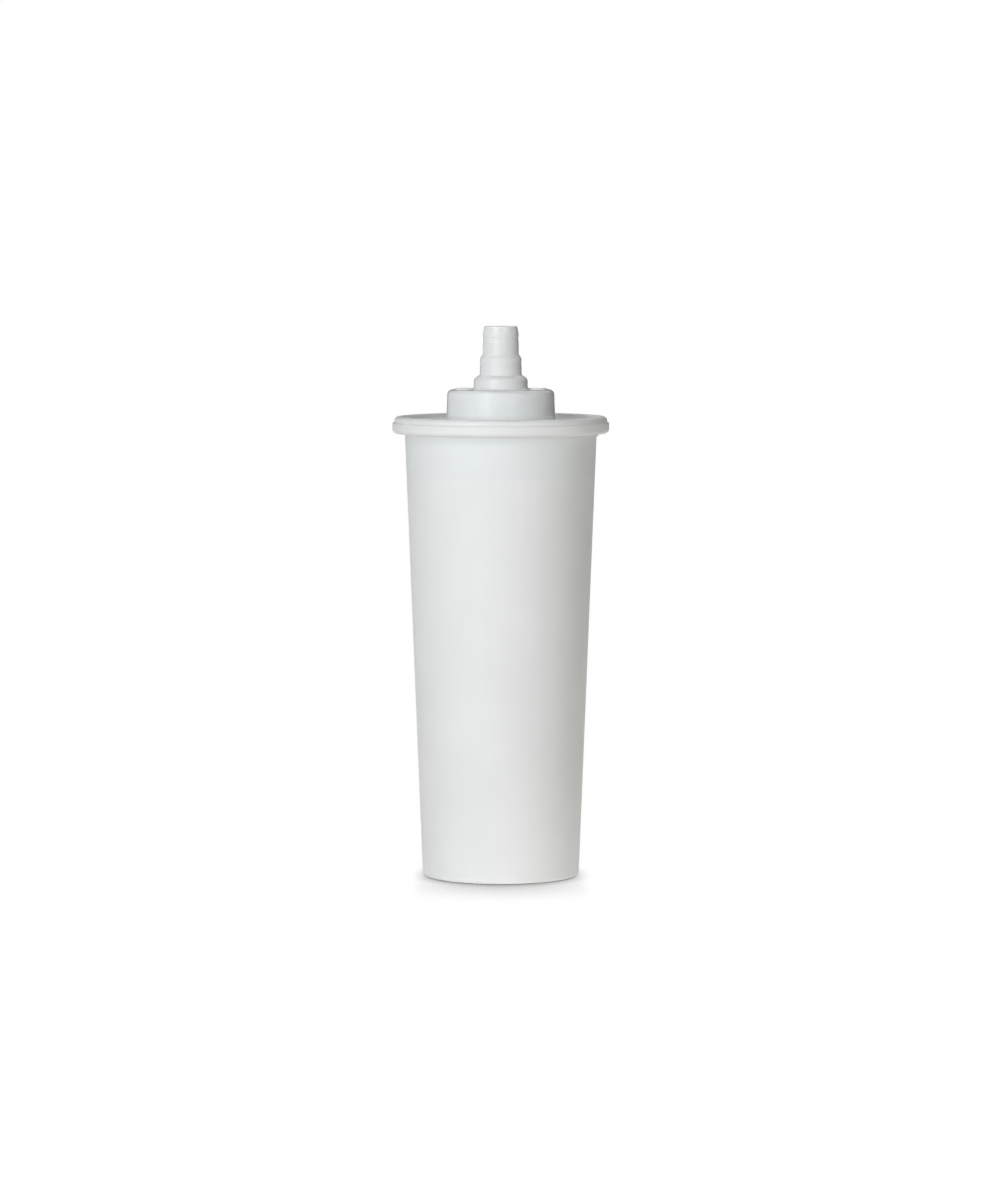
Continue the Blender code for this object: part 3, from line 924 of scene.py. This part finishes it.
@dataclass
class Connector:
    """The boss with notched foot and vents, the stepped nozzle, and the spigot with the seal's groove."""

    lid: Lid
    steps: int = 96
    bore: float = 3.2
    socket: float = 4.3
    spigot: float = 5.6
    seal_seat: float = 4.3  # radius of the seal's groove at its floor
    seal_rise: float = 1.6  # of the groove over the socket's end, less the gap
    seal_width: float = 1.6
    socket_depth: float = 7.0
    boss_radius: float = 15.0
    boss_draft: float = math.radians(1.7)
    boss_height: float = 8.2
    boss_wall: float = 1.6
    boss_corner: float = 1.35
    foot_step: float = 0.15
    foot_height: float = 0.9
    foot_gap: float = 0.02
    parting_drop: float = 2.5  # of the mould's parting line below the boss's top
    parting_half: float = 0.15
    parting_proud: float = 0.04
    notches: int = 12
    notch_width: float = 2.2
    notch_height: float = 0.4
    notch_depth: float = 0.6
    notch_reach: float = 1.2  # of the tools past the boss's side
    vent_steps: int = 48
    vent_radius: float = 1.9
    vent_taper: float = 0.05
    vent_flare: Span = (0.1, 0.25)  # how far out and how far down
    vent_place: float = 10.2
    collar_radius: float = 2.45
    collar_height: float = 0.42
    collar_root: float = 0.5  # how far it reaches into the boss and the vent before that is cut
    tier_draft: float = math.radians(0.7)
    root_corner: float = 0.8
    lower_radius: float = 7.45
    lower_height: float = 2.3
    lower_edge: Span = (1.35, 62.0)  # radius of the tier's upper edge, and its shoulder's slope in degrees
    middle_radius: float = 5.78
    middle_height: float = 4.1
    middle_edge: Span = (0.75, 35.0)
    middle_groove: float = 1.0  # from the tier's upper end down to its groove
    upper_radius: float = 4.97
    upper_groove: float = 1.4
    shoulder_fillet: float = 0.5
    nose_length: float = 1.9
    nose_corner: float = 2.0
    nose_draw: float = 0.36
    tip: float = 152.5
    tip_corner: float = 0.45
    bore_corner: float = 0.6
    groove_depth: float = 0.12
    groove_half: float = 0.25
    groove_lip: float = 0.05
    ledge: Span = (0.95, 0.82)  # where the ledge starts and ends below the groove's middle
    ledge_depth: float = 0.07

    @property
    def bottom(self) -> float:
        """Height of the boss's foot."""
        return self.lid.floor + self.lid.gap

    @property
    def top(self) -> float:
        """Height of the boss's top."""
        return self.bottom + self.boss_height

    def boss_side(self, height: float) -> float:
        """Radius of the boss's side at a height."""
        return self.boss_radius - (height - self.bottom) * math.tan(self.boss_draft)

    def shoulder(self, lower: float, upper: float, start: float, edge: Span) -> tuple[list[Corner], float]:
        """The step from a wide tier to a narrower one.

        Args:
            lower: radius of the lower tier at its upper end.
            upper: radius of the upper tier at its root.
            start: height where the lower tier's round edge starts.
            edge: radius of that edge, and slope of the shoulder's face from upright, in degrees.

        Returns:
            Its two corners and the height of the upper tier's root.
        """
        corner, turn = edge[0], math.radians(edge[1])
        ledge = start + corner * math.tan(turn / 2)
        root = ledge + (lower - upper) / math.tan(turn)
        corners = [Corner(lower, ledge, corner, 5), Corner(upper, root, self.shoulder_fillet)]
        return corners, root + self.shoulder_fillet * math.tan(turn / 2)

    def groove(self, root_radius: float, root: float, middle: float) -> list[Corner]:
        """The fine grip groove round a tier, with a narrow ledge below it.

        Args:
            root_radius: the tier's radius at its root.
            root: height of that root.
            middle: height of the groove.

        Returns:
            Its corners from the bottom up.
        """
        radius = root_radius - (middle - root) * math.tan(self.tier_draft)
        half, lip, (low, high) = self.groove_half, self.groove_lip, self.ledge
        return [
            Corner(radius, middle - low, 0.05, 2),
            Corner(radius - self.ledge_depth, middle - high, 0.04, 2),
            Corner(radius - lip, middle - half - lip, 0.08, 2),
            Corner(radius - self.groove_depth, middle, 0.08, 2),
            Corner(radius, middle + half, 0.12, 2),
        ]

    def nozzle(self) -> list[Corner]:
        """The nozzle's outside.

        Returns:
            Its corners from the boss's top to the tip's outer edge.
        """
        taper = math.tan(self.tier_draft)
        corners = [Corner(self.lower_radius, self.top, self.root_corner, 4)]
        start = self.top + self.lower_height
        lower_end = self.lower_radius - self.lower_height * taper
        step, root = self.shoulder(lower_end, self.middle_radius, start, self.lower_edge)
        corners += step
        start = root + self.middle_height
        corners += self.groove(self.middle_radius, root, start - self.middle_groove)
        middle_end = self.middle_radius - self.middle_height * taper
        step, root = self.shoulder(middle_end, self.upper_radius, start, self.middle_edge)
        corners += step
        nose = self.tip - self.nose_length
        corners += self.groove(self.upper_radius, root, nose - self.upper_groove)
        side = self.upper_radius - (nose - root) * taper
        corners.append(Corner(side, nose, self.nose_corner, 4))
        return corners + [Corner(side - self.nose_draw, self.tip, self.tip_corner, 5)]

    def corners(self) -> list[Corner]:
        """The section.

        Returns:
            Its corners, from the boss's foot up over the nozzle, down the bore and round the chamber.
        """
        foot = self.boss_radius + self.foot_step
        sole = self.lid.floor + self.foot_gap
        step = self.bottom + self.foot_height
        parting, half = self.top - self.parting_drop, self.parting_half
        spigot_end = self.lid.underside - self.lid.skirt_depth
        socket_end = spigot_end + self.socket_depth
        groove = socket_end + self.seal_rise - self.lid.gap
        ceiling = self.top - self.boss_wall
        chamber = self.boss_radius - self.boss_wall
        outside = [
            Corner(foot, sole, 0.1, 2),
            Corner(foot, step, 0.1, 2),
            Corner(self.boss_radius, step + self.foot_step, 0.1, 2),
            Corner(self.boss_side(parting - half), parting - half, 0.08, 2),
            Corner(self.boss_side(parting) + self.parting_proud, parting, 0.08, 2),
            Corner(self.boss_side(parting + half), parting + half, 0.08, 2),
            Corner(self.boss_side(self.top), self.top, self.boss_corner, 6),
        ]
        inside = [
            Corner(self.bore, self.tip, self.bore_corner, 4),
            Corner(self.bore, socket_end),
            Corner(self.socket, socket_end),
            Corner(self.socket, spigot_end, 0.3),
            Corner(self.spigot, spigot_end, 0.4),
            Corner(self.spigot, groove, 0.1, 2),
            Corner(self.seal_seat, groove, 0.1, 2),
            Corner(self.seal_seat, groove + self.seal_width, 0.1, 2),
            Corner(self.spigot, groove + self.seal_width, 0.1, 2),
            Corner(self.spigot, ceiling, 0.5),
            Corner(chamber, ceiling, 0.9),
            Corner(chamber, sole, 0.15, 2),
        ]
        return outside + self.nozzle() + inside

    def notch_tools(self) -> BMesh:
        """The blocks that cut the notches in the foot.

        Returns:
            All of them in one mesh.
        """
        half = self.notch_width / 2
        low = Vector((self.boss_radius - self.notch_depth, -half, self.lid.floor - SPARE))
        high = Vector((self.boss_radius + self.notch_reach, half, self.lid.floor + self.notch_height))
        return ring_of(block(low, high, 0.2), self.notches, self.lid.first_slot)

    def at_vents(self, corners: Sequence[Corner]) -> BMesh:
        """Turn a section round the axis of each vent.

        Args:
            corners: the section's corners.

        Returns:
            Both bodies in one mesh.
        """
        body = turned(corners, self.vent_steps)
        bmesh.ops.translate(body, verts=body.verts[:], vec=(self.vent_place * MM, 0, 0))
        return ring_of(body, 2, 0.0)

    def collars(self) -> BMesh:
        """The raised collars round the vents.

        Returns:
            Both in one mesh.
        """
        inside, over = self.vent_radius - self.collar_root, self.top + self.collar_height
        corners = [
            Corner(inside, self.top - self.collar_root),
            Corner(self.collar_radius, self.top - self.collar_root),
            Corner(self.collar_radius, self.top),
            Corner(self.collar_radius, over, 0.25, 4),
            Corner(inside, over),
        ]
        return self.at_vents(corners)

    def vent_tools(self) -> BMesh:
        """The round tools that cut the vents, flared where they meet the boss's top.

        Returns:
            Both in one mesh.
        """
        start, rim = self.top - self.boss_wall - SPARE, self.top + self.collar_height
        out, down = self.vent_flare
        corners = [
            Corner(0.0, start),
            Corner(self.vent_radius - self.vent_taper, start),
            Corner(self.vent_radius, rim - down, 0.2),
            Corner(self.vent_radius + out, rim, 0.1),
            Corner(self.vent_radius + out + SPARE, rim + SPARE),
            Corner(0.0, rim + SPARE),
        ]
        return self.at_vents(corners)

    def build(self, material: Material) -> Object:
        """Build and dress the connector.

        Args:
            material: its plastic.

        Returns:
            The piece.
        """
        shape = carved(turned(self.corners(), self.steps), self.notch_tools(), Cut.TAKE_AWAY)
        shape = carved(shape, self.collars(), Cut.JOIN)
        shape = carved(shape, self.vent_tools(), Cut.TAKE_AWAY)
        return finished("hose_connector", shape, material, Slot.CONNECTOR, "connector")


@dataclass
class Filling:
    """The felt rings and the granules between them."""

    lid: Lid
    steps: int = 96
    hub: float = 6.1
    hub_top: float = 13.9
    tube: float = 4.3
    upper_felt: Span = (106.7, 109.2)  # its lower and upper height
    bed: Span = (9.7, 106.4)
    lower_felt: Span = (6.9, 9.4)
    felt_edge: float = 0.5
    bed_edge: float = 0.3
    face: float = 1.6  # the longest edge of a broken-up surface
    felt_ruffle: Span = (1.8, 0.12)  # width and depth of the unevenness
    bed_ruffle: Span = (1.1, 0.3)

    def layer(self, heights: Span, holes: Span, rounding: float) -> list[Corner]:
        """The section of a layer that fills the cup between two heights.

        Args:
            heights: its lower and upper height.
            holes: radius of its hole at each of them.
            rounding: radius of its edges.

        Returns:
            Its corners, from the hole's lower edge out, up and in.
        """
        outside = [(self.lid.fitted(height), height) for height in heights]
        edges = [(holes[0], heights[0]), *outside, (holes[1], heights[1])]
        return [Corner(*edge, rounding, 2) for edge in edges]

    def build(self, felt: Material, granules: Material) -> list[Object]:
        """Build and dress the filling.

        Args:
            felt: the rings' finish.
            granules: the bed's finish.

        Returns:
            The pieces, from the top down.
        """
        pieces = []
        for node, hole, heights in (
            ("upper_fleece", self.tube, self.upper_felt),
            ("lower_fleece", self.hub, self.lower_felt),
        ):
            ring = turned(self.layer(heights, (hole, hole), self.felt_edge), self.steps)
            ring = ruffled(ring, self.face, *self.felt_ruffle)
            pieces.append(finished(node + "_felt", ring, felt, Slot.FELT, node))
        step = [Corner(self.tube, self.hub_top), Corner(self.hub, self.hub_top)]
        bed = turned(self.layer(self.bed, (self.hub, self.tube), self.bed_edge) + step, self.steps)
        bed = ruffled(bed, self.face, *self.bed_ruffle)
        pieces.insert(1, finished("granule_bed", bed, granules, Slot.GRANULES, "media_bed"))
        return pieces


@dataclass
class InnerFittings:
    """The screen, strainer, riser tube and seal, which keep their own solids."""

    plastic_nodes: tuple[str, ...] = ("upper_screen", "lower_strainer", "riser_tube")
    seal_node: str = "connector_o_ring"

    def dress(self, plastic: Material, rubber: Material) -> list[Object]:
        """Give the solids their finishes.

        Args:
            plastic: the finish of the plastic pieces.
            rubber: the finish of the seal.

        Returns:
            The pieces.
        """
        chosen = {node: (plastic, Slot.INNER) for node in self.plastic_nodes}
        chosen[self.seal_node] = (rubber, Slot.SEAL)
        pieces = []
        for node, (material, slot) in chosen.items():
            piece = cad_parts[node]
            for index in range(len(piece.data.materials)):
                piece.data.materials[index] = material
            pieces.append(piece)
        return pieces


# Studio


@dataclass(frozen=True)
class Lamp:
    """A soft lamp that points at the cartridge."""

    name: str
    azimuth: float  # in degrees, from the camera's side towards +X
    elevation: float
    distance: float
    size: tuple[float, float]
    level: Colour  # brightness it gives a white surface that faces it, where 1 is white
    glossy: bool = True  # whether glossy surfaces mirror it
    diffuse: bool = True  # whether it lights dull surfaces

    def build(self, target: Vector) -> None:
        """Hang the lamp.

        Args:
            target: the point it faces.
        """
        data = bpy.data.lights.new(self.name, "AREA")
        data.shape = "RECTANGLE"
        data.size, data.size_y = self.size
        brightest = max(self.level)
        data.energy = brightest * math.pi**2 * self.distance**2
        data.color = tuple(part / brightest for part in self.level)
        lamp = bpy.data.objects.new(self.name, data)
        around, up = math.radians(self.azimuth), math.radians(self.elevation)
        way = Vector((math.sin(around) * math.cos(up), -math.cos(around) * math.cos(up), math.sin(up)))
        lamp.location = target + way * self.distance
        lamp.rotation_euler = way.to_track_quat("Z", "Y").to_euler()
        lamp.visible_camera = False
        lamp.visible_glossy = self.glossy
        lamp.visible_diffuse = self.diffuse
        bpy.context.scene.collection.objects.link(lamp)


@dataclass
class Studio:
    """The floor, the backdrop, the lamps and the camera."""

    ambient: Colour = (0.11, 0.11, 0.11)  # soft light from all round
    from_behind: Colour = (0.11, 0.11, 0.11)  # and what comes from behind besides
    lamps: tuple[Lamp, ...] = (
        Lamp("key", -31.0, 6.0, 1.3, (0.5, 0.3), (0.3, 0.312, 0.33), glossy=False),
        Lamp("key_high", -33.0, 36.0, 1.3, (0.7, 0.7), (0.277, 0.277, 0.28), glossy=False),
        Lamp("back_sheen", 180.0, 52.0, 1.5, (1.6, 0.9), (0.24, 0.24, 0.24), diffuse=False),
        Lamp("low_sheen", -35.0, 5.0, 1.3, (0.7, 0.6), (0.05, 0.05, 0.05), diffuse=False),
        Lamp("high_sheen", -34.0, 36.0, 1.3, (0.4, 0.6), (0.34, 0.34, 0.34), diffuse=False),
        Lamp("right", 20.0, 6.0, 1.4, (0.5, 0.3), (0.08, 0.086, 0.095), glossy=False),
        Lamp("right_high", 36.0, 25.0, 1.4, (0.15, 0.3), (0.085, 0.08, 0.066), glossy=False),
        Lamp("right_sheen", 31.0, 32.0, 1.4, (0.25, 0.35), (0.13, 0.13, 0.13), diffuse=False),
        Lamp("back", 180.0, 3.0, 1.3, (0.3, 0.4), (0.35, 0.35, 0.35), glossy=False),
    )
    lamp_target: Triple = (0.0, 0.0, 0.09)
    floor_size: float = 3.0
    floor_drop: float = 0.00003  # below the foot, so that they don't share a plane
    floor_tone: Colour = (0.85, 0.85, 0.85)
    bounce: Colour = (0.169, 0.159, 0.128)  # glow of the whole floor
    patch_bounce: Colour = (0.252, 0.245, 0.245)  # and of the patch to the right of the foot
    patch_shift: Triple = (-45.0, 25.0, 0.0)  # in millimetres, as the other places on the floor
    patch_reach: Span = (80.0, 20.0)
    contact_reach: float = 0.006  # in metres, as the shadow's
    contact_power: float = 0.5
    contact_side: Span = (26.0, 21.0)  # from the middle, where it starts and where it is full
    shadow_reach: float = 0.042
    shadow_depth: float = 0.62
    shadow_step: Span = (0.88, 0.35)  # share of open sky where it starts and where it is full
    shadow_front: Span = (0.0, -12.0)
    shadow_side: Span = (25.0, 21.0)
    card_tone: Colour = (0.02, 0.014, 0.008)
    card_size: tuple[float, float] = (3.2, 0.6)
    card_place: Triple = (1.1, 1.0, 0.2)
    camera_distance: float = 1.38
    camera_height: float = 0.1808
    camera_sees: Span = (0.1, 20.0)
    aim: Triple = (-0.00022, 0.0, 0.07664)
    pixel: float = 0.0002774  # of the 1200 that the picture's long side has, at the axis
    long_side: int = 1200
    sensor: float = 36.0

    def looked_at(self, recipe: Recipe) -> Signal:
        """Tell the rays that show a surface from those that carry soft light.

        Args:
            recipe: the tree.

        Returns:
            1 for camera, mirror and glass rays, 0 for the others.
        """
        rays = recipe.node("LightPath").outputs
        names = ("Is Camera Ray", "Is Glossy Ray", "Is Transmission Ray")
        seen, shiny, through = (Signal(recipe, rays[name]) for name in names)
        return recipe.maths("MAXIMUM", recipe.maths("MAXIMUM", seen, shiny), through)

    def light_world(self) -> None:
        """Soft light all round, with a little more from behind, and a white backdrop."""
        world = bpy.data.worlds.new("studio")
        world.use_nodes = True
        bpy.context.scene.world = world
        recipe = Recipe(world.node_tree)
        way = recipe.signal("TexCoord", output="Generated")
        behind = recipe.maths("MAXIMUM", recipe.axis(way, "Y"), 0.0)
        colour = recipe.blend(behind, self.ambient, self.from_behind, "ADD")
        colour = recipe.blend(self.looked_at(recipe), colour, (1.0, 1.0, 1.0))
        recipe.surface(recipe.signal("Background", {"Color": colour, "Strength": 1.0}))

    def lay_floor(self) -> None:
        """The pale floor, which keeps the shadow near the foot and is white further out."""
        shape = bmesh.new()
        drop = Matrix.Translation((0.0, 0.0, -self.floor_drop))
        bmesh.ops.create_grid(shape, x_segments=4, y_segments=4, size=self.floor_size, matrix=drop)
        floor = as_object("studio_floor", shape)
        recipe = Recipe.of_material("pale_floor")
        place = recipe.place((1.0, 1.0, 0.0))
        patch = recipe.place((1.0, 1.0, 0.0), shift=self.patch_shift)
        away = recipe.signal("VectorMath", {0: patch}, "Value", operation="LENGTH")
        plain = recipe.signal("BsdfDiffuse", {"Color": self.floor_tone})
        glow = recipe.blend(away.rise(*self.patch_reach), self.bounce, self.patch_bounce, "ADD")
        plain = recipe.signal("AddShader", {0: plain, 1: recipe.emission(glow)})

        inputs = {"Distance": self.contact_reach}
        contact = recipe.signal("AmbientOcclusion", inputs, "AO", samples=8)
        backwards = recipe.signal("CombineXYZ", {0: 0.0, 1: 1.0, 2: 0.0})
        inputs = {"Distance": self.shadow_reach, "Normal": backwards}
        shadow = recipe.signal("AmbientOcclusion", inputs, "AO", samples=8)
        aside = abs(recipe.axis(place, "X"))
        contact = 1.0 - (1.0 - contact**self.contact_power) * aside.rise(*self.contact_side)
        fade = recipe.axis(place, "Y").rise(*self.shadow_front) * aside.rise(*self.shadow_side)
        shade = contact * (1.0 - self.shadow_depth * fade * shadow.rise(*self.shadow_step))
        inputs = {0: self.looked_at(recipe), 1: plain, 2: recipe.emission((1.0, 1.0, 1.0), shade)}
        recipe.surface(recipe.signal("MixShader", inputs))
        floor.data.materials.append(recipe.material)

    def hang_card(self) -> None:
        """The dark card behind and to the right, which only glossy reflections show."""
        shape = bmesh.new()
        bmesh.ops.create_grid(shape, x_segments=1, y_segments=1, size=0.5)
        bmesh.ops.scale(shape, verts=shape.verts[:], vec=(*self.card_size, 1.0))
        place = Matrix.Translation(self.card_place) @ Matrix.Rotation(math.radians(90), 4, "X")
        bmesh.ops.transform(shape, verts=shape.verts[:], matrix=place)
        card = as_object("dark_card", shape)
        recipe = Recipe.of_material("dark_card")
        recipe.surface(recipe.emission(self.card_tone))
        card.data.materials.append(recipe.material)
        for ray in ("camera", "diffuse", "shadow", "transmission"):
            setattr(card, "visible_" + ray, False)

    def place_camera(self) -> None:
        """Place the camera where the photograph was taken from."""
        data = bpy.data.cameras.new("camera")
        camera = bpy.data.objects.new("camera", data)
        aim = Vector(self.aim)
        camera.location = (aim.x, -self.camera_distance, self.camera_height)
        away = camera.location - aim
        data.sensor_width = self.sensor
        data.lens = self.sensor * away.length / self.pixel / self.long_side
        data.clip_start, data.clip_end = self.camera_sees
        camera.rotation_euler = away.to_track_quat("Z", "Y").to_euler()
        bpy.context.scene.collection.objects.link(camera)
        bpy.context.scene.camera = camera

    def build(self) -> None:
        """Set up the light, the stage and the camera."""
        bpy.context.scene.view_settings.view_transform = "Standard"
        self.light_world()
        for lamp in self.lamps:
            lamp.build(Vector(self.lamp_target))
        self.lay_floor()
        self.hang_card()
        self.place_camera()


def main() -> None:
    """Build the cartridge and its studio."""
    logging.basicConfig(level=logging.INFO, format="%(name)s: %(message)s")
    white = (0.83, 0.838, 0.832)
    skirt = Band(111.3, 122.4, (0.8, 0.825, 0.827))  # where the lid's skirt backs the cup's wall
    # the boss's own cooler tint, lifted lighter as painted light where the flange keeps the floor's light
    # off it
    boss = Band(126.0, 135.2, (0.845, 0.87, 0.87))
    # painted light: the tip's top edge lightened, where little light falls from above
    tip = Band(152.1, 154.0, (0.95, 0.965, 0.96), 0.3)
    cup_plastic = MouldedPlastic("cup_plastic", (0.834, 0.837, 0.834), 0.52, (skirt,))
    lid_plastic = MouldedPlastic("lid_plastic", white, 0.44, line_stretch=1.0, line_depth=0.1)
    connector_plastic = MouldedPlastic(
        "connector_plastic", white, 0.21, (boss, tip), line_stretch=0.3, line_depth=0.06
    )
    inner_plastic = MouldedPlastic("inner_plastic", white, 0.45, line_stretch=0.3)

    cup = Cup()
    lid = Lid(cup)
    connector = Connector(lid)
    pieces = [
        cup.build(cup_plastic.material()),
        lid.build(lid_plastic.material()),
        connector.build(connector_plastic.material()),
    ]
    pieces += Filling(lid).build(NeedledFelt().material(), GranuleMix().material())
    pieces += InnerFittings().dress(inner_plastic.material(), SealRubber().material())
    Studio().build()


if __name__ == "__main__":
    main()
